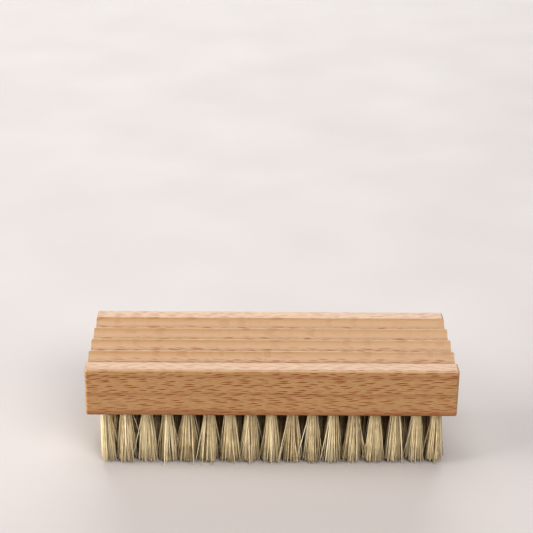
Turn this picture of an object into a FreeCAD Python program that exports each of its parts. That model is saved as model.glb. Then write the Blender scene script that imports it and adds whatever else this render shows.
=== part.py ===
# Nail brush: a beech block with a fluted top and rows of fibre tufts under it.
# Each tuft is a bundle folded in two over a flat wire anchor, which holds it in a blind hole of its own.
# The brush stands on its bristle tips. The origin is the centre of the tip plane, X runs along the block,
# Y from the front row to the back row, and Z up to the fluted top. All sizes are millimetres.

import FreeCAD, Part
import os

import Sketcher
from FreeCAD import Vector

OUTPUT_FOLDER = "parts"

# A step of a pattern that is marked so follows the pattern's one offset.
EVEN_SPACING = -1.0

# How many of each there are. An even row has one tuft fewer than an odd one, and sits half a pitch over.
TUFTS_IN_ODD_ROW = 17
ROWS = 7
FLUTES = 4

# Driving dimensions: alias, value, meaning.
SIZES = (
    ("block_length", 95.0, "block, along the grain"),
    ("block_depth", 36.0, "block, from front face to back face"),
    ("block_height", 13.0, "block, from underside to top lands"),
    ("edge_round", 0.6, "radius of the block's sanded outer edges"),
    ("flute_depth", 2.1, "depth of a flute below the lands"),
    ("crest_width", 0.2, "flat left between neighbouring flutes"),
    ("crest_round", 0.25, "radius of the sanded edges along the flutes"),
    ("outer_land", 4.3, "from the block's front or back face to the first flute"),
    ("trim_height", 16.0, "bristles, from the tip plane to the underside of the block"),
    ("end_margin", 4.3, "from the block's end to the axis of the first tuft"),
    ("side_margin", 5.8, "from the block's front or back face to the first row"),
    ("hole_diameter", 2.5, "blind hole for one tuft"),
    ("drill_angle", 118.0, "point angle of the drill, in degrees"),
    ("roof", 2.5, "wood left between a hole's point and the bottom of a flute"),
    ("tip_gap", 0.45, "gap between the spread tips of neighbouring tufts"),
    ("tip_ease", 0.3, "worn edge around a tuft's tips"),
    ("anchor_thickness", 0.45, "flat anchor wire, thickness"),
    ("anchor_height", 2.0, "flat anchor wire, width along the hole"),
    ("anchor_bite", 0.3, "how far each end of an anchor reaches into the wood"),
    ("fold_thickness", 0.8, "folded fibres between an anchor and the end of the hole's wall"),
    ("fit_clearance", 0.05, "gap on each side of a tuft in its hole, and of an anchor in its slit"),
)

# Sizes that follow from the driving ones: alias, formula, meaning.
DERIVED = (
    ("flute_pitch", f"(Sizes.block_depth - 2 * Sizes.outer_land + Sizes.crest_width) / {FLUTES}",
     "distance between neighbouring flutes"),
    ("flute_half", "(flute_pitch - Sizes.crest_width) / 2", "half the width of a flute's mouth"),
    ("flute_radius", "(flute_half ^ 2 + Sizes.flute_depth ^ 2) / (2 * Sizes.flute_depth) - Sizes.crest_round",
     "radius of the round cutter that makes the flutes; its arc meets the rounded edges smoothly"),
    ("last_flute", f"flute_pitch * {FLUTES - 1} / 2", "Y of the last flute"),
    ("last_tuft", "Sizes.block_length / 2 - Sizes.end_margin", "X of the last tuft of an odd row"),
    ("last_row", "Sizes.block_depth / 2 - Sizes.side_margin", "Y of the last row"),
    ("tuft_pitch", f"2 * last_tuft / {TUFTS_IN_ODD_ROW - 1}",
     "distance between neighbouring tufts of one row"),
    ("row_pitch", f"2 * last_row / {ROWS - 1}", "distance between neighbouring rows"),
    ("nearest_tuft", "min(tuft_pitch; hypot(tuft_pitch / 2; row_pitch))",
     "distance to the nearest tuft, in the same row or in the next one"),
    ("tip_radius", "(nearest_tuft - Sizes.tip_gap) / 2", "radius of a tuft at its tips"),
    ("hole_radius", "Sizes.hole_diameter / 2", "radius of a tuft hole"),
    ("root_radius", "hole_radius - Sizes.fit_clearance", "radius of a tuft inside its hole"),
    ("drill_slope", "1 / tan(Sizes.drill_angle / 2)", "height of the drill's point over its radius"),
    ("hole_depth", "Sizes.block_height - Sizes.flute_depth - Sizes.roof - hole_radius * drill_slope",
     "depth of a hole's round wall"),
    ("anchor_top", "hole_depth - Sizes.fold_thickness", "anchor's inner edge, above the underside"),
    ("anchor_base", "anchor_top - Sizes.anchor_height", "anchor's outer edge, above the underside"),
    ("anchor_length", "Sizes.hole_diameter + 2 * Sizes.anchor_bite", "anchor, across the hole"),
)

# Rows are counted from the back. Each kind of row starts at its last tuft, and its rows at the last of them.
ODD_ROWS = (ROWS + 1) // 2
EVEN_ROWS = ROWS // 2
ODD_ROW_X, ODD_ROW_Y = "Derived.last_tuft", "Derived.last_row"
EVEN_ROW_X, EVEN_ROW_Y = "Derived.last_tuft - Derived.tuft_pitch / 2", "Derived.last_row - Derived.row_pitch"


def make_sheets(doc):
    """The driving sizes as plain numbers in one sheet, and what follows from them as formulas in another."""
    sizes = doc.addObject("Spreadsheet::Sheet", "Sizes")
    for row, (alias, value, meaning) in enumerate(SIZES, start=1):
        sizes.set(f"A{row}", meaning)
        sizes.set(f"B{row}", str(value))
        sizes.setAlias(f"B{row}", alias)
    derived = doc.addObject("Spreadsheet::Sheet", "Derived")
    for row, (alias, formula, meaning) in enumerate(DERIVED, start=1):
        derived.set(f"A{row}", meaning)
        derived.set(f"B{row}", "=" + formula)
        derived.setAlias(f"B{row}", alias)
    doc.recompute()
    return sizes, derived


def bind(thing, formulas):
    """Ties each named property of an object to its formula."""
    for name, formula in formulas.items():
        thing.setExpression(name, formula)


def origin_feature(body, role):
    return next(feature for feature in body.Origin.OriginFeatures if feature.Role == role)


def new_body(doc, label, place):
    """An empty body whose Placement coordinates follow the formulas in place."""
    body = doc.addObject("PartDesign::Body", label)
    body.Label = label
    bind(body, {"Placement.Base." + axis: formula for axis, formula in place.items()})
    return body


def new_sketch(body, name, plane):
    sketch = body.newObject("Sketcher::SketchObject", name)
    sketch.AttachmentSupport = [(origin_feature(body, plane), "")]
    sketch.MapMode = "FlatFace"
    return sketch


def dimension(sketch, name, formula, kind, *where):
    """A named dimension of the sketch, tied to a formula. It starts at what the drawn points measure."""
    start, end = (sketch.getPoint(*where[i:i + 2]) for i in (0, 2))
    drawn = end - start
    value = drawn.x if kind == "DistanceX" else drawn.y
    index = sketch.addConstraint(Sketcher.Constraint(kind, *where, value))
    sketch.renameConstraint(index, name)
    sketch.setExpression("Constraints." + name, formula)


def round_dimension(sketch, name, formula, kind, curve, value):
    """A named radius or diameter of a curve of the sketch, tied to a formula. It starts at value."""
    index = sketch.addConstraint(Sketcher.Constraint(kind, curve, value))
    sketch.renameConstraint(index, name)
    sketch.setExpression("Constraints." + name, formula)


def draw_polygon(sketch, corners):
    """Straight lines from corner to corner and back to the first, each joined to the next."""
    for start, end in zip(corners, corners[1:] + corners[:1]):
        sketch.addGeometry(Part.LineSegment(start, end))
    for line in range(len(corners)):
        sketch.addConstraint(Sketcher.Constraint("Coincident", line, 2, (line + 1) % len(corners), 1))


def draw_rectangle(sketch, width, height):
    """A rectangle about the sketch's origin."""
    draw_polygon(sketch, [Vector(-1, -1), Vector(1, -1), Vector(1, 1), Vector(-1, 1)])
    for line in range(4):
        sketch.addConstraint(Sketcher.Constraint(("Horizontal", "Vertical")[line % 2], line))
    sketch.addConstraint(Sketcher.Constraint("Symmetric", 0, 1, 1, 2, -1, 1))
    dimension(sketch, "width", width, "DistanceX", 0, 1, 0, 2)
    dimension(sketch, "height", height, "DistanceY", 1, 1, 1, 2)


def draw_circle(sketch, diameter, across, up):
    """A circle whose centre lies across and up from the origin."""
    radius = 1
    sketch.addGeometry(Part.Circle(Vector(1, 1), Vector(0, 0, 1), radius))
    round_dimension(sketch, "diameter", diameter, "Diameter", 0, 2 * radius)
    dimension(sketch, "across", across, "DistanceX", -1, 1, 0, 3)
    dimension(sketch, "up", up, "DistanceY", -1, 1, 0, 3)


def repeat(body, name, features, steps):
    """A linear pattern of features. Each step (axis, spacing formula, count) runs back along its axis."""
    pattern = body.newObject("PartDesign::LinearPattern", name)
    pattern.Originals = features
    for suffix, (axis, spacing, count) in zip(("", "2"), steps):
        setattr(pattern, "Direction" + suffix, (origin_feature(body, axis), [""]))
        setattr(pattern, "Reversed" + suffix, True)
        setattr(pattern, "Mode" + suffix, "Spacing")
        setattr(pattern, "Spacings" + suffix, [EVEN_SPACING])
        setattr(pattern, "Occurrences" + suffix, count)
        bind(pattern, {"Offset" + suffix: spacing})
    body.Tip = pattern


def cut_through(body, name, sketch):
    """A pocket right through the body, to both sides of the sketch."""
    pocket = body.newObject("PartDesign::Pocket", name)
    pocket.Profile = sketch
    pocket.SideType = "Symmetric"
    pocket.Type = "ThroughAll"
    return pocket


def draw_flute(sketch, sizes, derived):
    """What a flute takes away, about the origin at its mouth: the round bottom, an eased edge on each side
    that starts level with the top, and a box above the top."""
    half, depth = derived.flute_half, sizes.flute_depth
    ease, radius = sizes.crest_round, derived.flute_radius
    normal = Vector(0, 0, 1)
    bottom = Part.Circle(Vector(0, radius - depth), normal, radius)
    right = Part.Circle(Vector(half, -ease), normal, ease)
    left = Part.Circle(Vector(-half, -ease), normal, ease)
    meets_right, meets_left = (bottom.value(bottom.parameter(side.Center)) for side in (right, left))
    mouth_right, mouth_left = Vector(half, 0), Vector(-half, 0)
    lid_right, lid_left = Vector(half, depth), Vector(-half, depth)

    sketch.addGeometry(Part.ArcOfCircle(bottom, bottom.parameter(meets_left), bottom.parameter(meets_right)))
    sketch.addGeometry(Part.ArcOfCircle(right, right.parameter(mouth_right), right.parameter(meets_right)))
    sketch.addGeometry(Part.ArcOfCircle(left, left.parameter(meets_left), left.parameter(mouth_left)))
    sketch.addGeometry(Part.LineSegment(mouth_right, lid_right))
    sketch.addGeometry(Part.LineSegment(lid_right, lid_left))
    sketch.addGeometry(Part.LineSegment(lid_left, mouth_left))
    round_bottom, right_edge, left_edge, right_side, lid, left_side = range(6)

    for join in [(right_edge, 1, right_side, 1), (right_side, 2, lid, 1),
                 (lid, 2, left_side, 1), (left_side, 2, left_edge, 2)]:
        sketch.addConstraint(Sketcher.Constraint("Coincident", *join))
    sketch.addConstraint(Sketcher.Constraint("Tangent", round_bottom, 2, right_edge, 2))
    sketch.addConstraint(Sketcher.Constraint("Tangent", round_bottom, 1, left_edge, 1))
    sketch.addConstraint(Sketcher.Constraint("Vertical", right_edge, 3, right_edge, 1))
    sketch.addConstraint(Sketcher.Constraint("Vertical", left_edge, 3, left_edge, 2))
    sketch.addConstraint(Sketcher.Constraint("PointOnObject", right_edge, 1, -1))
    sketch.addConstraint(Sketcher.Constraint("PointOnObject", left_edge, 2, -1))
    sketch.addConstraint(Sketcher.Constraint("Vertical", right_side))
    sketch.addConstraint(Sketcher.Constraint("Vertical", left_side))
    sketch.addConstraint(Sketcher.Constraint("Horizontal", lid))
    sketch.addConstraint(Sketcher.Constraint("Equal", right_edge, left_edge))
    dimension(sketch, "right", "Derived.flute_half", "DistanceX", -1, 1, right_edge, 1)
    dimension(sketch, "left", "Derived.flute_half", "DistanceX", left_edge, 2, -1, 1)
    dimension(sketch, "lift", "Sizes.flute_depth", "DistanceY", right_side, 1, right_side, 2)
    round_dimension(sketch, "ease", "Sizes.crest_round", "Radius", right_edge, ease)
    round_dimension(sketch, "cutter", "Derived.flute_radius", "Radius", round_bottom, radius)


def cut_flutes(body, sizes, derived):
    """Round flutes along the whole top, with narrow crests between them and a flat land at front and back."""
    sketch = new_sketch(body, "FluteOutline", "YZ_Plane")
    bind(sketch, {"AttachmentOffset.Base.x": "Derived.last_flute",
                  "AttachmentOffset.Base.y": "Sizes.block_height"})
    draw_flute(sketch, sizes, derived)
    flute = cut_through(body, "Flute", sketch)
    repeat(body, "Flutes", [flute], [("Y_Axis", "Derived.flute_pitch", FLUTES)])


def drill_rows(doc, body, kind, across, up, columns, rows):
    """Blind holes for every second row, each with the slit that its anchor cuts on the way in."""
    circle = new_sketch(body, kind + "HoleCircle", "XY_Plane")
    draw_circle(circle, "Sizes.hole_diameter", across, up)
    doc.recompute()
    hole = body.newObject("PartDesign::Hole", kind + "Hole")
    hole.Profile = circle
    doc.recompute()
    hole.Reversed = True
    hole.DrillPoint = "Angled"
    bind(hole, {"Diameter": "Sizes.hole_diameter", "Depth": "Derived.hole_depth",
                "DrillPointAngle": "Sizes.drill_angle"})
    doc.recompute()

    outline = new_sketch(body, kind + "SlitOutline", "XY_Plane")
    bind(outline, {"AttachmentOffset.Base.x": across, "AttachmentOffset.Base.y": up})
    draw_rectangle(outline, "Sizes.anchor_thickness + 2 * Sizes.fit_clearance",
                   "Derived.anchor_length + 2 * Sizes.fit_clearance")
    slit = body.newObject("PartDesign::Pocket", kind + "Slit")
    slit.Profile = outline
    slit.Reversed = True
    bind(slit, {"Length": "Derived.anchor_top + Sizes.fit_clearance"})
    doc.recompute()

    repeat(body, kind + "Holes", [hole, slit],
           [("X_Axis", "Derived.tuft_pitch", columns), ("Y_Axis", "2 * Derived.row_pitch", rows)])


def make_block(doc, sizes, derived):
    """The beech block: sanded edges, flutes along the top, staggered rows of blind holes from below."""
    body = new_body(doc, "block", {"z": "Sizes.trim_height"})
    outline = new_sketch(body, "BlockOutline", "XY_Plane")
    draw_rectangle(outline, "Sizes.block_length", "Sizes.block_depth")
    pad = body.newObject("PartDesign::Pad", "BlockPad")
    pad.Profile = outline
    bind(pad, {"Length": "Sizes.block_height"})
    doc.recompute()
    edges = body.newObject("PartDesign::Fillet", "SandedEdges")
    edges.Base = (pad, [f"Edge{number}" for number in range(1, len(pad.Shape.Edges) + 1)])
    bind(edges, {"Radius": "Sizes.edge_round"})
    doc.recompute()
    cut_flutes(body, sizes, derived)
    drill_rows(doc, body, "OddRow", ODD_ROW_X, ODD_ROW_Y, TUFTS_IN_ODD_ROW, ODD_ROWS)
    drill_rows(doc, body, "EvenRow", EVEN_ROW_X, EVEN_ROW_Y, TUFTS_IN_ODD_ROW - 1, EVEN_ROWS)
    return body


def draw_tuft(sketch, sizes, derived):
    """Half of a tuft's section: flat tips, a flank that narrows up to the mouth of the hole, and the root."""
    tip, ease = derived.tip_radius, sizes.tip_ease
    root, mouth = derived.root_radius, sizes.trim_height
    fold = mouth + derived.hole_depth
    draw_polygon(sketch, [Vector(0, 0), Vector(tip - ease, 0), Vector(tip, ease), Vector(root, mouth),
                          Vector(root, fold), Vector(0, fold + root * derived.drill_slope)])
    tips, worn_edge, flank, wall, point, axis = range(6)

    sketch.addConstraint(Sketcher.Constraint("Coincident", tips, 1, -1, 1))
    sketch.addConstraint(Sketcher.Constraint("Horizontal", tips))
    for upright in (wall, axis):
        sketch.addConstraint(Sketcher.Constraint("Vertical", upright))
    dimension(sketch, "flat", "Derived.tip_radius - Sizes.tip_ease", "DistanceX", tips, 1, tips, 2)
    dimension(sketch, "spread", "Derived.tip_radius", "DistanceX", -1, 1, worn_edge, 2)
    dimension(sketch, "ease", "Sizes.tip_ease", "DistanceY", -1, 1, worn_edge, 2)
    dimension(sketch, "root", "Derived.root_radius", "DistanceX", -1, 1, wall, 1)
    dimension(sketch, "mouth", "Sizes.trim_height", "DistanceY", -1, 1, wall, 1)
    dimension(sketch, "depth", "Derived.hole_depth", "DistanceY", wall, 1, wall, 2)
    dimension(sketch, "peak", "Derived.root_radius * Derived.drill_slope", "DistanceY", point, 1, point, 2)


def make_tuft_column(doc, sizes, derived, number):
    """The tufts of one column, back to front. Odd columns stand in odd rows, even columns in even rows."""
    odd = number % 2 == 1
    place = {"x": f"-Derived.last_tuft + {number - 1} * Derived.tuft_pitch / 2",
             "y": ODD_ROW_Y if odd else EVEN_ROW_Y}
    body = new_body(doc, f"tuft_column_{number:02d}", place)
    body.AllowCompound = True
    section = new_sketch(body, f"TuftSection{number}", "XZ_Plane")
    draw_tuft(section, sizes, derived)
    tuft = body.newObject("PartDesign::Revolution", f"Tuft{number}")
    tuft.Profile = section
    tuft.ReferenceAxis = (section, ["V_Axis"])

    fold = new_sketch(body, f"FoldOutline{number}", "XZ_Plane")
    anchor_middle = "Sizes.trim_height + Derived.anchor_base + Sizes.anchor_height / 2"
    bind(fold, {"AttachmentOffset.Base.y": anchor_middle})
    draw_rectangle(fold, "Sizes.anchor_thickness + 2 * Sizes.fit_clearance",
                   "Sizes.anchor_height + 2 * Sizes.fit_clearance")
    gap = cut_through(body, f"Fold{number}", fold)
    repeat(body, f"Tufts{number}", [tuft, gap],
           [("Y_Axis", "2 * Derived.row_pitch", ODD_ROWS if odd else EVEN_ROWS)])
    return body


def make_anchor_row(doc, number):
    """The anchors of one row, counted from the back: short lengths of flat wire, set across the grain."""
    odd = number % 2 == 1
    place = {"x": ODD_ROW_X if odd else EVEN_ROW_X,
             "y": f"Derived.last_row - {number - 1} * Derived.row_pitch",
             "z": "Sizes.trim_height + Derived.anchor_base"}
    body = new_body(doc, f"anchor_row_{number}", place)
    body.AllowCompound = True
    outline = new_sketch(body, f"AnchorOutline{number}", "XY_Plane")
    draw_rectangle(outline, "Sizes.anchor_thickness", "Derived.anchor_length")
    anchor = body.newObject("PartDesign::Pad", f"Anchor{number}")
    anchor.Profile = outline
    bind(anchor, {"Length": "Sizes.anchor_height"})
    count = TUFTS_IN_ODD_ROW if odd else TUFTS_IN_ODD_ROW - 1
    repeat(body, f"Anchors{number}", [anchor], [("X_Axis", "Derived.tuft_pitch", count)])
    return body


def check(doc, bodies):
    """Stops the build if any object failed, or a sub-part's shape is empty or broken."""
    failed = [thing.Name for thing in doc.Objects if {"Invalid", "Error"} & set(thing.State)]
    if failed:
        raise RuntimeError(f"these objects failed: {failed}")
    for body in bodies:
        if body.Shape.isNull() or not body.Shape.isValid() or not body.Shape.Solids:
            raise RuntimeError(f"{body.Label} has no valid shape")


def main():
    doc = FreeCAD.newDocument("NailBrush")
    sizes, derived = make_sheets(doc)
    columns = 2 * TUFTS_IN_ODD_ROW - 1
    bodies = [make_block(doc, sizes, derived)]
    bodies += [make_tuft_column(doc, sizes, derived, number) for number in range(1, columns + 1)]
    bodies += [make_anchor_row(doc, number) for number in range(1, ROWS + 1)]
    doc.recompute()
    check(doc, bodies)
    os.makedirs(OUTPUT_FOLDER, exist_ok=True)
    for body in bodies:
        body.Shape.exportStep(os.path.join(OUTPUT_FOLDER, body.Label + ".step"))
        print(f"{body.Label}: {len(body.Shape.Solids)} solids, {body.Shape.Volume:.2f} mm3")


main()
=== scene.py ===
"""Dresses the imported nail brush: beech on the block, wire on the anchors and loose fibres in every tuft.

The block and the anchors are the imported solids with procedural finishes. Each tuft's plain solid is
replaced by fibres that are folded over the tuft's anchor, the way such a brush is filled. Lengths are in
metres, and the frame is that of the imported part: +X along the brush, +Y to its back, the fibre ends at
Z = 0.
"""

import math
from typing import NamedTuple

import bpy
import numpy as np
from bpy.props import FloatProperty, FloatVectorProperty, IntProperty, PointerProperty
from mathutils import Matrix, Vector


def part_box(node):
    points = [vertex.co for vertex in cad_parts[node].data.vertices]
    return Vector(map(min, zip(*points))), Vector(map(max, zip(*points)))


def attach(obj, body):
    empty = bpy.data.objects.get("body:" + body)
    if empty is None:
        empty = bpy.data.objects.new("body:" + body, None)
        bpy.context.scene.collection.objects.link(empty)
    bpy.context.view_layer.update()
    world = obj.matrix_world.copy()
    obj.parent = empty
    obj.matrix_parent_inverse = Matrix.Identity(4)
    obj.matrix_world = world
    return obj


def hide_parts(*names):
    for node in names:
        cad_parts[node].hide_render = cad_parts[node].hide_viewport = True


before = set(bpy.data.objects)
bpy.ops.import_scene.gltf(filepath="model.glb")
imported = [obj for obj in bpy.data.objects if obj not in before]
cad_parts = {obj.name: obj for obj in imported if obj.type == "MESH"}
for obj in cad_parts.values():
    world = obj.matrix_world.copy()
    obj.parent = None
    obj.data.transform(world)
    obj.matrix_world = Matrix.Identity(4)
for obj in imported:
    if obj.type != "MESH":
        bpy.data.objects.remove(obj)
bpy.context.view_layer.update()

bl_info = {
    "name": "Nail brush finish",
    "version": (1, 0, 0),
    "blender": (4, 5, 0),
    "location": "3D View > Sidebar > Nail Brush",
    "description": "Gives a packed nail brush its beech, its wire and its folded fibres",
    "category": "Object",
}

BODY = "root"
MILLIMETRE = 0.001
TO_MILLIMETRES = 1000.0

# Places of the colour sockets on a Mix node, whose names are those of its other sockets too
MIX_FIRST, MIX_SECOND, MIX_RESULT = 6, 7, 2

BLOCK_LOW, BLOCK_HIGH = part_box("block")
TUFT_COLUMNS = sorted(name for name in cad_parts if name.startswith("tuft_column_"))
ANCHOR_ROWS = sorted(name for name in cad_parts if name.startswith("anchor_row_"))


class BeechSettings(bpy.types.PropertyGroup):
    """Colours and grain of the block."""

    pale: FloatVectorProperty(
        name="Pale wood", description="Colour of the wood between the flecks", subtype="COLOR",
        default=(0.450, 0.280, 0.133), min=0.0, max=1.0)
    tan: FloatVectorProperty(
        name="Tan wood", description="Colour of the darker late wood of each year", subtype="COLOR",
        default=(0.310, 0.140, 0.050), min=0.0, max=1.0)
    fleck: FloatVectorProperty(
        name="Ray fleck", description="Colour of the short dashes along the grain", subtype="COLOR",
        default=(0.250, 0.052, 0.003), min=0.0, max=1.0)
    # Pale colour: a painted highlight for the glare on the top, and the real paler wear of the sanded edges
    wear_and_glare: FloatVectorProperty(
        name="Worn wood", description="Colour of the handled top and edges", subtype="COLOR",
        default=(0.465, 0.326, 0.218), min=0.0, max=1.0)
    # Painted highlight: how far the faces that look up go to the pale colour, as the glare on the top does
    top_glare: FloatProperty(
        name="Top wear", description="How far the top has gone to the worn colour", subtype="FACTOR",
        default=0.75, min=0.0, max=1.0)
    # Darker band along the lower edge of the sides, partly painted shade and partly a late band of the wood:
    # how far up it reaches
    lower_band_height: FloatProperty(
        name="Damp height", description="How far up the sides the wood has darkened from the wet fibres",
        unit="LENGTH", default=0.0026, min=0.0, max=0.02, precision=5)
    fleck_length: FloatProperty(
        name="Fleck length", description="Length of a large ray fleck along the grain", unit="LENGTH",
        default=0.0046, min=0.0005, max=0.02, precision=5)
    fleck_width: FloatProperty(
        name="Fleck width", description="Width of a large ray fleck across the grain", unit="LENGTH",
        default=0.00018, min=0.00005, max=0.002, precision=5)
    year_width: FloatProperty(
        name="Year width", description="Width of one year's growth", unit="LENGTH",
        default=0.00435, min=0.0005, max=0.02, precision=5)
    pith_across: FloatProperty(
        name="Pith forward", description="How far in front of the block's middle the tree's centre lay",
        unit="LENGTH", default=0.052, min=0.0, max=0.5)
    pith_below: FloatProperty(
        name="Pith below", description="How far below the fibre ends the tree's centre lay",
        unit="LENGTH", default=0.033, min=0.0, max=0.5)


class WireSettings(bpy.types.PropertyGroup):
    """Finish of the anchors."""

    colour: FloatVectorProperty(
        name="Wire", description="Colour of the drawn steel", subtype="COLOR",
        default=(0.560, 0.550, 0.530), min=0.0, max=1.0)
    draw_lines: FloatProperty(
        name="Draw lines", description="Width of the lines left by drawing the wire", unit="LENGTH",
        default=0.00006, min=0.00001, max=0.001, precision=5)


class FibreSettings(bpy.types.PropertyGroup):
    """Shape and colour of the fibres."""

    folded: IntProperty(
        name="Fibres in a tuft", description="How many fibres are folded into one hole",
        default=70, min=8, max=80)
    diameter: FloatProperty(
        name="Fibre diameter", description="Thickness of a middling fibre", unit="LENGTH",
        default=0.00024, min=0.00005, max=0.001, precision=5)
    mouth: FloatProperty(
        name="Mouth diameter", description="Width of a tuft where it leaves the wood", unit="LENGTH",
        default=0.00235, min=0.001, max=0.01, precision=5)
    spread: FloatProperty(
        name="Tip spread", description="Width of a tuft at its tips", unit="LENGTH",
        default=0.0053, min=0.001, max=0.02, precision=5)
    end_spread: FloatProperty(
        name="End spread", description="Share of the spread that the end tufts keep on their outer side",
        subtype="FACTOR", default=0.44, min=0.0, max=1.0)
    unevenness: FloatProperty(
        name="Uneven trim", description="How far short of the longest tip a fibre may end", unit="LENGTH",
        default=0.0013, min=0.0, max=0.005, precision=5)
    strays: FloatProperty(
        name="Strays", description="Share of fibre ends that stand away from their tuft", subtype="FACTOR",
        default=0.15, min=0.0, max=0.5)
    clumps: IntProperty(
        name="Clumps", description="How many bunches the tips of one tuft draw into",
        default=9, min=1, max=30)
    # Painted shade: the share of the length over which the roots of the inner tufts are darkened
    shade_share: FloatProperty(
        name="Damp share", subtype="FACTOR", default=0.7, min=0.05, max=1.0,
        description="Share of the length over which the roots of the inner tufts are darker")
    # Darkest fibre colour: the darkest tone, and the painted shade on the roots of the inner tufts
    darkest_and_shaded: FloatVectorProperty(
        name="Damp fibre", description="Colour of the darkest and dampest fibres", subtype="COLOR",
        default=(0.220, 0.125, 0.035), min=0.0, max=1.0)
    colour: FloatVectorProperty(
        name="Middling fibre", description="Colour of most of the fibres", subtype="COLOR",
        default=(0.810, 0.690, 0.448), min=0.0, max=1.0)
    pale: FloatVectorProperty(
        name="Palest fibre", description="Colour of the palest fibres", subtype="COLOR",
        default=(0.870, 0.815, 0.665), min=0.0, max=1.0)
    seed: IntProperty(
        name="Seed", description="Start of the random draws, the same on every run", default=17, min=0)


class StageSettings(bpy.types.PropertyGroup):
    """Floor, light and camera."""

    floor: FloatVectorProperty(
        name="Floor", description="Colour of the floor", subtype="COLOR",
        default=(0.520, 0.490, 0.480), min=0.0, max=1.0)
    floor_size: FloatProperty(
        name="Floor size", description="Length of each side of the floor", unit="LENGTH",
        default=6.0, min=0.5, max=50.0)
    sky: FloatProperty(
        name="Sky", description="Strength of the even light from all around", default=0.20, min=0.0)
    window: FloatProperty(
        name="Window", description="Power of the large light on the left", unit="POWER",
        default=22.0, min=0.0)
    back_light: FloatProperty(
        name="Back light", description="Power of the wide light behind the brush", unit="POWER",
        default=10.5, min=0.0)
    top_light: FloatProperty(
        name="Top light", description="Power of the soft light overhead", unit="POWER", default=6.5, min=0.0)
    fill_light: FloatProperty(
        name="Fill light", description="Power of the soft light in front on the right", unit="POWER",
        default=9.5, min=0.0)
    contrast: FloatProperty(
        name="Contrast", description="Power that the picture's shades are raised to",
        default=1.25, min=0.2, max=3.0)
    camera_place: FloatVectorProperty(
        name="Camera place", description="Where the camera stands", subtype="TRANSLATION", unit="LENGTH",
        default=(-0.00708, -0.32825, BLOCK_LOW.z + 0.17220))
    pitch: FloatProperty(
        name="Camera pitch", description="How far the camera looks down", unit="ROTATION",
        default=math.radians(22.83))
    yaw: FloatProperty(
        name="Camera yaw", description="How far the camera looks to the right", unit="ROTATION",
        default=math.radians(0.967))
    roll: FloatProperty(
        name="Camera roll", description="How far the camera is turned about its own line of sight",
        unit="ROTATION", default=math.radians(0.722))
    lens: FloatProperty(
        name="Lens", description="Focal length in millimetres on the sensor below", default=93.04, min=1.0)
    sensor: FloatProperty(
        name="Sensor", description="Width of the sensor in millimetres", default=36.0, min=1.0)


class NodeBench:
    """A material and short ways to lay out its nodes."""

    def __init__(self, name):
        self.material = bpy.data.materials.new(name)
        self.material.use_nodes = True
        self.tree = self.material.node_tree
        self.shader = self.tree.nodes["Principled BSDF"]

    def put(self, value, socket):
        """Links value to the socket if it is an output, and else sets it there."""
        if isinstance(value, bpy.types.NodeSocket):
            self.tree.links.new(value, socket)
        else:
            socket.default_value = value

    def add(self, kind, inputs=None, **settings):
        """Adds a node, sets its options and fills its sockets by name."""
        node = self.tree.nodes.new(kind)
        for name, value in settings.items():
            setattr(node, name, value)
        for name, value in (inputs or {}).items():
            self.put(value, node.inputs[name])
        return node

    def math(self, operation, first, second=0.0, clamp=False):
        """One sum on one or two numbers."""
        node = self.add("ShaderNodeMath", operation=operation, use_clamp=clamp)
        self.put(first, node.inputs[0])
        self.put(second, node.inputs[1])
        return node.outputs[0]

    def ramp(self, value, low, high, from_low=0.0, from_high=1.0):
        """Carries value smoothly from one range to another and stops at its ends."""
        node = self.add("ShaderNodeMapRange", interpolation_type="SMOOTHSTEP", inputs={
            "Value": value, "From Min": from_low, "From Max": from_high, "To Min": low, "To Max": high})
        return node.outputs["Result"]

    def noise(self, vector, scale=1.0, detail=2.0, roughness=0.5):
        """Soft noise between 0 and 1."""
        node = self.add("ShaderNodeTexNoise", inputs={
            "Vector": vector, "Scale": scale, "Detail": detail, "Roughness": roughness})
        return node.outputs["Fac"]

    def vector(self, x, y, z):
        """Three numbers as one vector."""
        return self.add("ShaderNodeCombineXYZ", inputs={"X": x, "Y": y, "Z": z}).outputs[0]

    def stretched(self, place, scales):
        """Three numbers as one vector, each multiplied by its own scale."""
        return self.vector(*(self.math("MULTIPLY", part, scale) for part, scale in zip(place, scales)))

    def mix(self, factor, first, second, blend="MIX"):
        """Two colours, or a colour and a tint, put together."""
        node = self.add("ShaderNodeMix", data_type="RGBA", blend_type=blend)
        self.put(factor, node.inputs["Factor"])
        self.put(first, node.inputs[MIX_FIRST])
        self.put(second, node.inputs[MIX_SECOND])
        return node.outputs[MIX_RESULT]

    def millimetres(self):
        """The place on the object in millimetres: as one vector, and as x, y and z."""
        place = self.add("ShaderNodeTexCoord").outputs["Object"]
        scaled = self.add("ShaderNodeVectorMath", operation="SCALE",
                          inputs={"Vector": place, "Scale": TO_MILLIMETRES}).outputs["Vector"]
        split = self.add("ShaderNodeSeparateXYZ", inputs={"Vector": scaled})
        return scaled, split.outputs["X"], split.outputs["Y"], split.outputs["Z"]

    def finish(self, colour, roughness, height, bump_strength, bump_depth):
        """Gives the shader its colour, roughness and relief."""
        bump = self.add("ShaderNodeBump", inputs={
            "Strength": bump_strength, "Distance": bump_depth, "Height": height})
        self.put(colour, self.shader.inputs["Base Color"])
        self.put(roughness, self.shader.inputs["Roughness"])
        self.put(bump.outputs["Normal"], self.shader.inputs["Normal"])
        return self.material


def opaque(colour):
    """A colour with its fourth channel."""
    return (*colour, 1.0)


class FleckSize(NamedTuple):
    """One size of ray fleck, in a wall of bricks with one fleck to a brick. Lengths are in millimetres."""

    length_share: float
    width_share: float
    brick_length: float
    course_height: float
    shift: float
    softness: float
    strength: float


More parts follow.
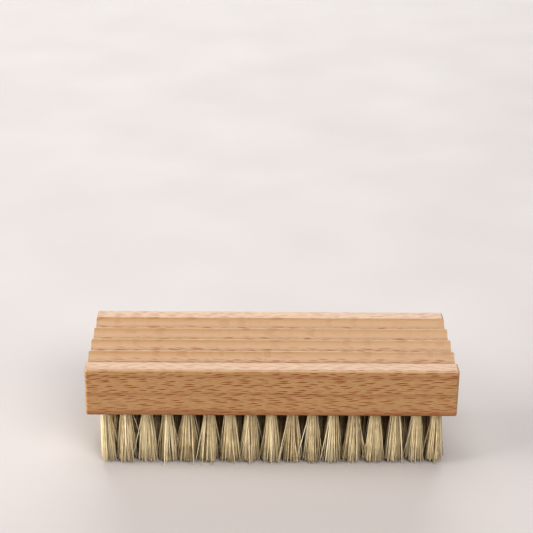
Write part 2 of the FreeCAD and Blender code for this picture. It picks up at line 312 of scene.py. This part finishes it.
FLECK_SIZES = (
    FleckSize(length_share=1.00, width_share=1.00, brick_length=4.8, course_height=0.32,
              shift=3.7, softness=0.30, strength=1.00),
    FleckSize(length_share=0.46, width_share=0.62, brick_length=2.3, course_height=0.21,
              shift=23.9, softness=0.50, strength=0.45),
)
# The furthest that a course is pushed along, in bricks
COURSE_PUSH = 9.0

# Ramps: the results at their two ends, then the values at which those ends lie, where these aren't 0 and 1
FLECK_SHORTENING = (0.95, 1.7)
FLECK_PLACE_IN_COURSE = (0.3, 0.7)
FLECK_DARKER_END = (0.65, 1.0, -1.0, 0.6)
FLECK_CHANCE = (0.0, 1.0, 0.05, 0.65)
LATE_WOOD_GROWS = (0.0, 1.0, 0.66, 0.96)
LATE_WOOD_STOPS = (1.0, 0.0, 0.96, 1.0)
LATE_WOOD_PATCHES = (0.35, 1.0, 0.3, 0.7)
FLECKS_FADE_ALONG_RAYS = (1.0, 0.15, 0.90, 0.97)
# Patches of the darker lower edge, which is partly painted shade
LOWER_BAND_PATCHES = (0.35, 1.0, 0.35, 0.65)
VESSEL_TONE = (0.2, -0.04, 0.3, 0.72)
# Painted highlight on the faces that look up, and how much of the flecks shows through it
FACES_UP = (0.35, 0.85)
FLECKS_UNDER_GLARE = (1.0, 0.75)
END_GRAIN = (0.0, 0.35, 0.6, 0.95)
EDGE_WEAR = (0.25, 0.0, 0.1, 0.6)
SCUFFS = (0.3, 1.0, 0.3, 0.7)
BEECH_ROUGHNESS = (0.38, 0.52)

# Waves of the wood's noises to the millimetre, along the grain and in the two directions across it
DRIFT_WAVES = (0.05, 0.025, 0.025)
PATCH_WAVES = (0.05, 0.22, 0.22)
VESSEL_WAVES = (0.22, 2.4, 2.4)
SCUFF_WAVES = 0.9
# How far the grain wanders in millimetres, the share of that which the years follow, and the slope along X
DRIFT_WIDTH = 1.8
YEAR_DRIFT = 0.9
GRAIN_SLOPE = -0.026
# Strengths of the late wood and of the darker lower edge, partly painted shade, and what wear takes off the
# roughness
LATE_STRENGTH = 0.55
LOWER_BAND_STRENGTH = 0.75
WEAR_POLISH = -0.08
# Shares of the relief that stand up in the vessels and lie in the flecks
VESSEL_RELIEF = 0.6
FLECK_RELIEF = -0.35
BEECH_BUMP = 0.22
BEECH_BUMP_DEPTH = 0.05 * MILLIMETRE


def ray_flecks(bench, along, around, settings, size):
    """Spindles along the grain, one in each brick of a wall whose courses run along the grain.

    With s the distance from the brick's middle along the grain, in half lengths, and w the distance across
    it, in half widths, the spindle is where w is less than 1 - s squared. Each course is pushed along by its
    own random way, and each brick has its own random length, place in the course and strength. Returns the
    strength.
    """
    length = size.length_share * settings.fleck_length * TO_MILLIMETRES
    width = size.width_share * settings.fleck_width * TO_MILLIMETRES
    v = bench.math("ADD", bench.math("DIVIDE", around, size.course_height), size.shift)
    course = bench.math("FLOOR", v)
    push = bench.add("ShaderNodeTexWhiteNoise", noise_dimensions="1D", inputs={"W": course}).outputs["Value"]
    u = bench.math("ADD", bench.math("DIVIDE", along, size.brick_length),
                   bench.math("MULTIPLY", push, COURSE_PUSH))
    draws = bench.add("ShaderNodeTexWhiteNoise", noise_dimensions="2D", inputs={
        "Vector": bench.vector(bench.math("FLOOR", u), course, 0.0)})
    chance = bench.add("ShaderNodeSeparateColor", inputs={"Color": draws.outputs["Color"]}).outputs
    s = bench.math("SUBTRACT", bench.math("FRACT", u), 0.5)
    s = bench.math("MULTIPLY", bench.math("MULTIPLY", s, 2.0 * size.brick_length / length),
                   bench.ramp(chance["Blue"], *FLECK_SHORTENING))
    w = bench.math("SUBTRACT", bench.math("FRACT", v), bench.ramp(chance["Red"], *FLECK_PLACE_IN_COURSE))
    w = bench.math("MULTIPLY", bench.math("ABSOLUTE", w), 2.0 * size.course_height / width)
    spindle = bench.math("SUBTRACT", 1.0, bench.math("MULTIPLY", s, s))
    inside = bench.ramp(bench.math("SUBTRACT", spindle, w), 0.0, 1.0, 0.0, size.softness)
    strength = bench.math("MULTIPLY", bench.ramp(s, *FLECK_DARKER_END),
                          bench.ramp(chance["Green"], *FLECK_CHANCE))
    return bench.math("MULTIPLY", bench.math("MULTIPLY", inside, strength), size.strength)


def beech(settings):
    """Beech sawn at an angle to the years, so that the ray flecks show on all its long faces.

    The grain runs along X. Across it, the pattern follows the distance from the tree's centre, for the
    years, and the way round that centre, for the rays. A slow noise bends both a little.
    """
    bench = NodeBench("beech")
    place, x, y, z = bench.millimetres()
    normal = bench.add("ShaderNodeTexCoord").outputs["Normal"]
    facing = bench.add("ShaderNodeSeparateXYZ", inputs={"Vector": normal}).outputs

    # Polar place about the tree's centre
    forward = bench.math("ADD", y, settings.pith_across * TO_MILLIMETRES)
    upward = bench.math("ADD", z, settings.pith_below * TO_MILLIMETRES)
    block_middle = (BLOCK_LOW.z + BLOCK_HIGH.z) / 2
    middle = Vector((settings.pith_across, block_middle + settings.pith_below)).length
    radius = bench.math("SQRT", bench.math("ADD", bench.math("MULTIPLY", forward, forward),
                                           bench.math("MULTIPLY", upward, upward)))
    turn = bench.math("ARCTAN2", upward, forward)
    drift = bench.noise(bench.stretched((x, y, z), DRIFT_WAVES), detail=1.5)
    drift = bench.math("MULTIPLY", bench.math("SUBTRACT", drift, 0.5), DRIFT_WIDTH)
    slope = bench.math("MULTIPLY", x, GRAIN_SLOPE)
    around = bench.math("ADD", bench.math("MULTIPLY", turn, middle * TO_MILLIMETRES),
                        bench.math("ADD", drift, slope))

    # How nearly a face is sawn along the rays, which then lie flat in it and show no ends
    along_rays = bench.math("DIVIDE", bench.math("SUBTRACT", bench.math("MULTIPLY", facing["Z"], forward),
                                                 bench.math("MULTIPLY", facing["Y"], upward)), radius)
    along_rays = bench.math("ABSOLUTE", along_rays)

    # Years, darker towards the end of each
    radius = bench.math("ADD", radius, bench.math("MULTIPLY", drift, YEAR_DRIFT))
    year = bench.math("FRACT", bench.math("DIVIDE", radius, settings.year_width * TO_MILLIMETRES))
    late = bench.math("MULTIPLY", bench.ramp(year, *LATE_WOOD_GROWS), bench.ramp(year, *LATE_WOOD_STOPS))
    patch = bench.noise(bench.stretched((x, around, radius), PATCH_WAVES), detail=2.0)
    late = bench.math("MULTIPLY", late, bench.ramp(patch, *LATE_WOOD_PATCHES))

    # Ray flecks of each size, and the fine lines of the vessels
    flecks = 0.0
    for size in FLECK_SIZES:
        flecks = bench.math("MAXIMUM", flecks, ray_flecks(bench, x, around, settings, size))
    flecks = bench.math("MULTIPLY", flecks, bench.ramp(along_rays, *FLECKS_FADE_ALONG_RAYS))
    vessels = bench.noise(bench.stretched((x, y, z), VESSEL_WAVES), detail=3.5, roughness=0.6)

    # Colour between pale and late wood, then a painted highlight that pales the faces looking up as the
    # glare does, then the flecks
    # Darker lower edge in patches, partly painted shade and partly a late band, added to the late wood
    underside = BLOCK_LOW.z * TO_MILLIMETRES
    lower_band_top = underside + settings.lower_band_height * TO_MILLIMETRES
    damp = bench.math("MULTIPLY", bench.ramp(z, LOWER_BAND_STRENGTH, 0.0, underside, lower_band_top),
                      bench.ramp(vessels, *LOWER_BAND_PATCHES))
    late = bench.math("ADD", bench.math("MULTIPLY", late, LATE_STRENGTH), damp)
    tone = bench.math("ADD", late, bench.ramp(vessels, *VESSEL_TONE), clamp=True)
    colour = bench.mix(tone, opaque(settings.pale), opaque(settings.tan))
    top = bench.ramp(facing["Z"], 0.0, settings.top_glare, *FACES_UP)
    colour = bench.mix(top, colour, opaque(settings.wear_and_glare))
    # The flecks fade under the painted highlight on the top
    flecks = bench.math("MULTIPLY", flecks, bench.ramp(top, *FLECKS_UNDER_GLARE))
    colour = bench.mix(flecks, colour, opaque(settings.fleck))

    # End grain drinks more finish and is darker
    end = bench.ramp(bench.math("ABSOLUTE", facing["X"]), *END_GRAIN)
    colour = bench.mix(end, colour, opaque(settings.tan), blend="MULTIPLY")

    # Sanded edges are paler where the hand has been
    scuffs = bench.noise(place, scale=SCUFF_WAVES, detail=3.0)
    wear = bench.math("MULTIPLY", bench.ramp(edge_distance(bench, x, y, z), *EDGE_WEAR),
                      bench.ramp(scuffs, *SCUFFS))
    colour = bench.mix(wear, colour, opaque(settings.wear_and_glare))

    roughness = bench.math("ADD", bench.ramp(vessels, *BEECH_ROUGHNESS),
                           bench.math("MULTIPLY", wear, WEAR_POLISH))
    height = bench.math("ADD", bench.math("MULTIPLY", vessels, VESSEL_RELIEF),
                        bench.math("MULTIPLY", flecks, FLECK_RELIEF))
    return bench.finish(colour, roughness, height, BEECH_BUMP, BEECH_BUMP_DEPTH)


def edge_distance(bench, x, y, z):
    """Distance in millimetres to the nearest of the block's outer edges, apart from those underneath.

    With the distances from the place to the nearest end, to the nearest side and to the top, it is the
    middle one of the three, because the smallest of them is 0 on the block's own surface.
    """
    half_length = BLOCK_HIGH.x * TO_MILLIMETRES
    half_depth = BLOCK_HIGH.y * TO_MILLIMETRES
    to_end = bench.math("SUBTRACT", half_length, bench.math("ABSOLUTE", x))
    to_side = bench.math("SUBTRACT", half_depth, bench.math("ABSOLUTE", y))
    to_level = bench.math("SUBTRACT", BLOCK_HIGH.z * TO_MILLIMETRES, z)
    low = bench.math("MINIMUM", to_end, to_side)
    high = bench.math("MAXIMUM", to_end, to_side)
    return bench.math("MAXIMUM", low, bench.math("MINIMUM", high, to_level))


# Finish of the wire: waves to the millimetre along it, ramps of its noise, and its relief
WIRE_WAVES_ALONG = 0.4
WIRE_SHADE = (0.72, 1.0, 0.3, 0.7)
WIRE_ROUGHNESS = (0.28, 0.46)
WIRE_BUMP = 0.15
WIRE_BUMP_DEPTH = 0.02 * MILLIMETRE


def drawn_wire(settings):
    """Flat steel wire with fine lines along its length, which lies across the brush."""
    bench = NodeBench("drawn_wire")
    _, x, y, z = bench.millimetres()
    across = 1.0 / (settings.draw_lines * TO_MILLIMETRES)
    lines = bench.noise(bench.stretched((x, y, z), (across, WIRE_WAVES_ALONG, across)), detail=2.0)
    shade = bench.ramp(lines, *WIRE_SHADE)
    grey = bench.add("ShaderNodeCombineColor", inputs={"Red": shade, "Green": shade, "Blue": shade})
    colour = bench.mix(1.0, opaque(settings.colour), grey.outputs["Color"], blend="MULTIPLY")
    bench.shader.inputs["Metallic"].default_value = 1.0
    return bench.finish(colour, bench.ramp(lines, *WIRE_ROUGHNESS), lines, WIRE_BUMP, WIRE_BUMP_DEPTH)


# Finish of the fibres: waves to the millimetre, ramps of their noise, what the painted shade on the roots of
# the inner tufts takes off the tone, the tone of the middling colour between darkest and palest, and the
# relief
BAND_WAVES = 0.55
BAND_TONE = (-0.08, 0.08, 0.3, 0.7)
PAINTED_SHADE_TONE = -0.8
MIDDLING_TONE = 0.45
FIBRE_ROUGHNESS = (0.42, 0.62)
FIBRE_BUMP = 0.2
FIBRE_BUMP_DEPTH = 0.03 * MILLIMETRE


def plant_fibre(settings):
    """Plant fibre: each one has its own tone, with faint bands along it, and painted shade darkens the roots
    of the inner tufts.
    """
    bench = NodeBench("plant_fibre")
    place, _, _, _ = bench.millimetres()
    tone = bench.add("ShaderNodeAttribute", attribute_name="tone").outputs["Fac"]
    # Painted shade on the roots of the inner tufts
    damp = bench.add("ShaderNodeAttribute", attribute_name="damp").outputs["Fac"]
    bands = bench.noise(place, scale=BAND_WAVES, detail=3.0)
    shade = bench.math("ADD", tone, bench.ramp(bands, *BAND_TONE))
    shade = bench.math("ADD", shade, bench.math("MULTIPLY", damp, PAINTED_SHADE_TONE), clamp=True)
    ramp = bench.add("ShaderNodeValToRGB", inputs={"Fac": shade})
    darkest, palest = ramp.color_ramp.elements
    darkest.position = 0.0
    darkest.color = opaque(settings.darkest_and_shaded)
    palest.position = 1.0
    palest.color = opaque(settings.pale)
    middling = ramp.color_ramp.elements.new(MIDDLING_TONE)
    middling.color = opaque(settings.colour)
    roughness = bench.ramp(bands, *FIBRE_ROUGHNESS)
    return bench.finish(ramp.outputs["Color"], roughness, bands, FIBRE_BUMP, FIBRE_BUMP_DEPTH)


def put_mesh(name, points, loops, starts, material):
    """A new mesh object at the origin, from its points and the corners of its faces."""
    mesh = bpy.data.meshes.new(name)
    mesh.vertices.add(len(points))
    mesh.vertices.foreach_set("co", np.ascontiguousarray(points, np.float32).ravel())
    mesh.loops.add(len(loops))
    mesh.loops.foreach_set("vertex_index", loops.astype(np.int32))
    mesh.polygons.add(len(starts))
    mesh.polygons.foreach_set("loop_start", starts.astype(np.int32))
    mesh.update(calc_edges=True)
    mesh.validate()
    mesh.materials.append(material)
    piece = bpy.data.objects.new(name, mesh)
    bpy.context.scene.collection.objects.link(piece)
    return piece


def put_values(mesh, name, values):
    """One number for each point of the mesh."""
    mesh.attributes.new(name, "FLOAT", "POINT").data.foreach_set("value", values.astype(np.float32).ravel())


FIBRE_SIDES = 5
# Shares of the way from the mouth to the tip at which a leg has its points
LEG_STEPS = np.array([1.0, 0.66, 0.33, 0.0])
GOLDEN_ANGLE = math.pi * (3.0 - math.sqrt(5.0))
FULL_TURN = 2.0 * math.pi

# How tufts and fibres differ: ranges are even draws, and single lengths are the spread of a normal draw
TUFT_REACH = (0.92, 1.06)
TUFT_LEAN = 0.16 * MILLIMETRE
TIP_JITTER = 0.25 * MILLIMETRE
STRAY_THROW = (0.4 * MILLIMETRE, 2.6 * MILLIMETRE)
LEG_POWER = (0.85, 1.25)
LEG_BOW = 0.12 * MILLIMETRE
TRIM_SHAPE = 2.2
FIBRE_THICKNESS = (0.72, 1.2)
FIBRE_TONE = 0.47
TUFT_TONE_SPREAD = 0.05
FIBRE_TONE_SPREAD = 0.14
# Power of the mouth radius that carries the inner tips outwards, and the most that a tip is drawn to a clump
OUTWARD_POWER = -0.3
CLUMP_PULL = 0.22
# Least height of a tip above the floor, and heights of the crown above the anchor, in fibre diameters
TIP_CLEARANCE = 0.2
CROWN_LEAST = 0.6
CROWN_RISE = 2.2
# Shares of the mouth's width and depth that a fibre keeps beside the anchor, at its top and over it
WAIST_DEPTH = 0.8
SHOULDER_WIDTH = 0.9
SHOULDER_DEPTH = 0.7
HALF_WIRE = 0.25 * MILLIMETRE


def tuft_mouth(rng, ends):
    """Places of the fibre ends in the mouth of a hole of radius 1, as a sunflower sets its seeds.

    The seed numbered i of n lies at the radius sqrt((i + 1/2) / n), turned by i golden angles. The seeds are
    then split into a left and a right half, each from front to back, so that a left one and a right one are
    one fibre.
    """
    index = np.arange(ends)
    radius = np.sqrt((index + 0.5) / ends)
    turn = GOLDEN_ANGLE * index + rng.uniform(0.0, FULL_TURN)
    seeds = np.stack([radius * np.cos(turn), radius * np.sin(turn)], axis=1)
    seeds = seeds[np.argsort(seeds[:, 0])]
    left, right = seeds[:ends // 2], seeds[ends // 2:]
    return np.stack([left[np.argsort(left[:, 1])], right[np.argsort(right[:, 1])]], axis=1)


def tuft_tips(rng, mouth, settings):
    """Places of the tips, in metres from the tuft's own line, for mouth places in a circle of radius 1.

    A tip is its mouth place carried outwards to the spread, the inner ones the most, with a lean that the
    whole tuft shares. It is drawn part of the way to the nearest of a few clump centres. A small share of
    strays stands further out.
    """
    shape = mouth.shape[:2]
    reach = settings.spread / 2 * rng.uniform(*TUFT_REACH)
    lean = rng.normal(0.0, TUFT_LEAN, 2)
    radius = np.linalg.norm(mouth, axis=-1, keepdims=True)
    tips = mouth * reach * radius ** OUTWARD_POWER + lean + rng.normal(0.0, TIP_JITTER, (*shape, 2))
    angle = rng.uniform(0.0, FULL_TURN, settings.clumps)
    away = reach * np.sqrt(rng.uniform(0.0, 1.0, settings.clumps))
    centres = lean + np.stack([away * np.cos(angle), away * np.sin(angle)], axis=1)
    nearest = np.argmin(np.linalg.norm(tips[:, :, None] - centres, axis=-1), axis=-1)
    pull = rng.uniform(0.0, CLUMP_PULL, (*shape, 1))
    tips = tips + pull * (centres[nearest] - tips)
    stray = rng.uniform(0.0, 1.0, shape) < settings.strays
    turn = rng.uniform(0.0, FULL_TURN, shape)
    throw = rng.uniform(*STRAY_THROW, shape) * stray
    return tips + np.stack([throw * np.cos(turn), throw * np.sin(turn)], axis=-1)


def fibre_lines(rng, settings, underside, anchor_low, anchor_high, outer_side):
    """Lines of the folded fibres of one tuft about its own line, as an array of fibres, points and x, y, z.

    A leg runs from its tip to the mouth. At the share s of the way out from the mouth, it has gone the share
    s, to a power near 1, of the way sideways, plus a bow of sin(pi s). In the hole the two legs pass the
    anchor on both sides and meet over it, the outer ones higher than the inner ones. A tuft at the brush's
    end, whose outer side is -1 or 1 and not 0, keeps only a share of its spread on that side.
    """
    count = settings.folded
    mouth = tuft_mouth(rng, 2 * count)
    tips = tuft_tips(rng, mouth, settings)
    outermost = outer_side * tips[..., 0] > 0.0
    tips[..., 0] *= np.where(outermost, settings.end_spread, 1.0)
    mouth_radius = settings.mouth / 2 - settings.diameter / 2
    roots = mouth * mouth_radius
    share = LEG_STEPS[None, None, :] ** rng.uniform(*LEG_POWER, (count, 2, 1))
    bow = rng.normal(0.0, LEG_BOW, (count, 2, 1, 2)) * np.sin(math.pi * LEG_STEPS)[:, None]
    flat = roots[:, :, None] + share[..., None] * (tips - roots)[:, :, None] + bow
    short = settings.unevenness * rng.beta(TRIM_SHAPE, TRIM_SHAPE, (count, 2, 1))
    lowest = short + TIP_CLEARANCE * settings.diameter
    level = underside + LEG_STEPS * (lowest - underside)
    legs = np.concatenate([flat, level[..., None]], axis=-1)

    # Past the anchor and over it
    side = np.array([-1.0, 1.0])[None, :]
    outwards = np.clip(np.abs(mouth[..., 0]), 0.0, 1.0)
    clear = HALF_WIRE + settings.diameter
    beside = side * (clear + outwards * (mouth_radius - clear))
    depth = roots[..., 1]
    waist = np.stack([beside, depth * WAIST_DEPTH, np.full((count, 2), anchor_low)], axis=-1)
    shoulder = np.stack([beside * SHOULDER_WIDTH, depth * SHOULDER_DEPTH,
                         np.full((count, 2), anchor_high)], axis=-1)
    rise = settings.diameter * (CROWN_LEAST + CROWN_RISE * outwards.mean(axis=1))
    crown = np.stack([np.zeros(count), depth.mean(axis=1) * SHOULDER_DEPTH, anchor_high + rise], axis=-1)
    left = np.concatenate([legs[:, 0], waist[:, :1], shoulder[:, :1]], axis=1)
    right = np.concatenate([legs[:, 1], waist[:, 1:], shoulder[:, 1:]], axis=1)
    return np.concatenate([left, crown[:, None], right[:, ::-1]], axis=1)


def fibre_tubes(lines, radii):
    """Thin tubes with closed ends about the lines, as points, face corners and where each face starts.

    At each point of a line, the ring's plane is square to the line. Its first direction is the line's own
    direction crossed with Y, and its second is square to both.
    """
    count, steps, _ = lines.shape
    ahead = np.gradient(lines, axis=1)
    ahead /= np.linalg.norm(ahead, axis=-1, keepdims=True)
    first = np.cross(ahead, np.array([0.0, 1.0, 0.0]))
    first /= np.linalg.norm(first, axis=-1, keepdims=True)
    second = np.cross(ahead, first)
    turn = FULL_TURN * np.arange(FIBRE_SIDES) / FIBRE_SIDES
    ring = np.cos(turn)[:, None] * first[:, :, None] + np.sin(turn)[:, None] * second[:, :, None]
    points = lines[:, :, None] + radii[:, None, None, None] * ring

    numbers = np.arange(count * steps * FIBRE_SIDES).reshape(count, steps, FIBRE_SIDES)
    beside = np.roll(numbers, -1, axis=2)
    corners = [numbers[:, :-1], beside[:, :-1], beside[:, 1:], numbers[:, 1:]]
    walls = np.stack(corners, axis=-1).reshape(-1, 4)
    ends = np.concatenate([numbers[:, 0, ::-1], numbers[:, -1]], axis=0)
    loops = np.concatenate([walls.ravel(), ends.ravel()])
    starts = np.concatenate([4 * np.arange(len(walls)), walls.size + FIBRE_SIDES * np.arange(len(ends))])
    return points.reshape(-1, 3), loops, starts


def tuft_places(column):
    """The x and y of each tuft in a column, and the row of anchors that it belongs to.

    The odd columns have a tuft in every odd row, and the even columns in every even row.
    """
    low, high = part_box(column)
    x = (low.x + high.x) / 2
    number = TUFT_COLUMNS.index(column)
    places = []
    for row in ANCHOR_ROWS[number % 2::2]:
        anchor_low, anchor_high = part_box(row)
        places.append((x, (anchor_low.y + anchor_high.y) / 2, row))
    return places


def dress_column(column, settings, material, rng):
    """The fibres of all the tufts in one column across the brush, as one piece in place of the column."""
    outer_side = {TUFT_COLUMNS[0]: -1, TUFT_COLUMNS[-1]: 1}.get(column, 0)
    lines, tones, radii, enclosed = [], [], [], []
    for x, y, row in tuft_places(column):
        anchor_low, anchor_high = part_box(row)
        tuft = fibre_lines(rng, settings, BLOCK_LOW.z, anchor_low.z, anchor_high.z, outer_side)
        lines.append(tuft + np.array([x, y, 0.0]))
        tuft_tone = FIBRE_TONE + rng.normal(0.0, TUFT_TONE_SPREAD)
        tones.append(rng.normal(tuft_tone, FIBRE_TONE_SPREAD, settings.folded))
        radii.append(settings.diameter / 2 * rng.uniform(*FIBRE_THICKNESS, settings.folded))
        inner = outer_side == 0 and row not in (ANCHOR_ROWS[0], ANCHOR_ROWS[-1])
        enclosed.append(np.full((settings.folded, 1), float(inner)))
    lines = np.concatenate(lines)
    tones = np.clip(np.concatenate(tones), 0.0, 1.0)
    points, loops, starts = fibre_tubes(lines, np.concatenate(radii))
    piece = put_mesh(column.replace("tuft", "fibres"), points, loops, starts, material)
    piece.data.polygons.foreach_set("use_smooth", np.ones(len(starts), bool))

    # Painted shade, from nothing at the unshaded level to all at the underside, and only in the enclosed
    # tufts
    unshaded_level = BLOCK_LOW.z * (1.0 - settings.shade_share)
    damp = np.clip((lines[:, :, 2] - unshaded_level) / (BLOCK_LOW.z - unshaded_level), 0.0, 1.0)
    damp *= np.concatenate(enclosed)
    put_values(piece.data, "damp", np.repeat(damp, FIBRE_SIDES, axis=1))
    put_values(piece.data, "tone", np.repeat(tones, lines.shape[1] * FIBRE_SIDES))
    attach(piece, BODY)
    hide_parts(column)


def finish_nodes(names, material):
    """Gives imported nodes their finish."""
    for name in names:
        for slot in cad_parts[name].material_slots:
            slot.material = material


def aim(place, target):
    """A matrix that stands at place and looks at target along its own -Z, with +Y up."""
    place, target = Vector(place), Vector(target)
    turn = (target - place).to_track_quat("-Z", "Y")
    return Matrix.Translation(place) @ turn.to_matrix().to_4x4()


# Soft lights around the brush: the setting that holds the power, the place, and the width and height
LIGHTS = (
    ("window", (-1.08, -0.16, 0.25), (0.7, 0.6)),
    ("back_light", (0.0, 1.20, 0.55), (1.2, 0.50)),
    ("top_light", (0.0, -0.20, 1.20), (0.8, 0.8)),
    ("fill_light", (0.45, -0.85, 0.75), (0.7, 0.6)),
)
SKY_COLOUR = (1.0, 0.93, 0.85)
# Waves of the floor's noise to the millimetre, and its ramp
FLOOR_WAVES = 0.02
FLOOR_ROUGHNESS = (0.55, 0.7)
NEAREST_SEEN = 0.01


def add_light(name, place, size, power):
    """A large soft light that shines from place at the middle of the tufts."""
    light = bpy.data.lights.new(name, "AREA")
    light.shape = "RECTANGLE"
    light.size, light.size_y = size
    light.energy = power
    lamp = bpy.data.objects.new(name, light)
    lamp.matrix_world = aim(place, (0.0, 0.0, BLOCK_LOW.z))
    bpy.context.scene.collection.objects.link(lamp)


def add_floor(settings):
    """A level square floor at the fibre ends: x and y run over the square, and z is 0."""
    bench = NodeBench("pale_floor")
    place, _, _, _ = bench.millimetres()
    mottle = bench.noise(place, scale=FLOOR_WAVES, detail=2.0)
    bench.shader.inputs["Base Color"].default_value = opaque(settings.floor)
    bench.put(bench.ramp(mottle, *FLOOR_ROUGHNESS), bench.shader.inputs["Roughness"])
    half = settings.floor_size / 2
    u, v = np.meshgrid([-half, half], [-half, half])
    points = np.stack([u.ravel(), v.ravel(), np.zeros(u.size)], axis=1)
    floor = put_mesh("floor", points, np.array([0, 1, 3, 2]), np.array([0]), bench.material)


def add_camera(settings):
    """The camera: it looks along the pitch and the yaw, and is then turned by the roll about that line."""
    forward = Vector((math.sin(settings.yaw) * math.cos(settings.pitch),
                      math.cos(settings.yaw) * math.cos(settings.pitch), -math.sin(settings.pitch)))
    level = Vector((math.cos(settings.yaw), -math.sin(settings.yaw), 0.0))
    upright = level.cross(forward)
    right = math.cos(settings.roll) * level + math.sin(settings.roll) * upright
    up = math.cos(settings.roll) * upright - math.sin(settings.roll) * level
    data = bpy.data.cameras.new("camera")
    data.lens = settings.lens
    data.sensor_width = settings.sensor
    data.clip_start = NEAREST_SEEN
    camera = bpy.data.objects.new("camera", data)
    turn = Matrix((right, up, -forward)).transposed().to_4x4()
    camera.matrix_world = Matrix.Translation(settings.camera_place) @ turn
    bpy.context.scene.collection.objects.link(camera)
    bpy.context.scene.camera = camera


def add_sky(strength):
    """Even light from all around."""
    world = bpy.data.worlds.new("studio")
    world.use_nodes = True
    background = world.node_tree.nodes["Background"]
    background.inputs["Color"].default_value = opaque(SKY_COLOUR)
    background.inputs["Strength"].default_value = strength
    bpy.context.scene.world = world


class NAILBRUSH_OT_block(bpy.types.Operator):
    """Give the block its beech"""

    bl_idname = "nailbrush.block"
    bl_label = "Finish the block"

    def execute(self, context):
        finish_nodes(["block"], beech(context.scene.nailbrush_beech))
        return {"FINISHED"}


class NAILBRUSH_OT_anchors(bpy.types.Operator):
    """Give the anchors their drawn wire"""

    bl_idname = "nailbrush.anchors"
    bl_label = "Finish the anchors"

    def execute(self, context):
        finish_nodes(ANCHOR_ROWS, drawn_wire(context.scene.nailbrush_wire))
        return {"FINISHED"}


class NAILBRUSH_OT_tufts(bpy.types.Operator):
    """Fill every hole of the block with folded fibres"""

    bl_idname = "nailbrush.tufts"
    bl_label = "Fill the tufts"

    def execute(self, context):
        settings = context.scene.nailbrush_fibre
        material = plant_fibre(settings)
        rng = np.random.default_rng(settings.seed)
        for column in TUFT_COLUMNS:
            dress_column(column, settings, material, rng)
        return {"FINISHED"}


class NAILBRUSH_OT_stage(bpy.types.Operator):
    """Add the floor, the light and the camera"""

    bl_idname = "nailbrush.stage"
    bl_label = "Set the stage"

    def execute(self, context):
        settings = context.scene.nailbrush_stage
        add_floor(settings)
        add_sky(settings.sky)
        for name, place, size in LIGHTS:
            add_light(name, place, size, getattr(settings, name))
        add_camera(settings)
        view = context.scene.view_settings
        view.view_transform = "Standard"
        view.gamma = 1.0 / settings.contrast
        return {"FINISHED"}


class NAILBRUSH_PT_parts(bpy.types.Panel):
    """Lists the pieces and the sizes and colours that they are made from"""

    bl_idname = "NAILBRUSH_PT_parts"
    bl_label = "Nail Brush"
    bl_space_type = "VIEW_3D"
    bl_region_type = "UI"
    bl_category = "Nail Brush"

    def draw(self, context):
        for operator, settings in STEPS:
            box = self.layout.box()
            box.operator(operator.bl_idname)
            group = getattr(context.scene, settings)
            for name in group.bl_rna.properties.keys():
                if name not in ("rna_type", "name"):
                    box.prop(group, name)


STEPS = (
    (NAILBRUSH_OT_block, "nailbrush_beech"),
    (NAILBRUSH_OT_anchors, "nailbrush_wire"),
    (NAILBRUSH_OT_tufts, "nailbrush_fibre"),
    (NAILBRUSH_OT_stage, "nailbrush_stage"),
)
SETTINGS = {
    "nailbrush_beech": BeechSettings,
    "nailbrush_wire": WireSettings,
    "nailbrush_fibre": FibreSettings,
    "nailbrush_stage": StageSettings,
}
CLASSES = (*SETTINGS.values(), *(operator for operator, _ in STEPS), NAILBRUSH_PT_parts)


def register():
    """Registers the settings, the operators and the panel."""
    for kind in CLASSES:
        bpy.utils.register_class(kind)
    for name, group in SETTINGS.items():
        setattr(bpy.types.Scene, name, PointerProperty(type=group))


def unregister():
    """Takes the panel, the operators and the settings away again."""
    for name in SETTINGS:
        delattr(bpy.types.Scene, name)
    for kind in reversed(CLASSES):
        bpy.utils.unregister_class(kind)


def main():
    """Makes every piece."""
    register()
    bpy.ops.nailbrush.block()
    bpy.ops.nailbrush.anchors()
    bpy.ops.nailbrush.tufts()
    bpy.ops.nailbrush.stage()


if __name__ == "__main__":
    main()
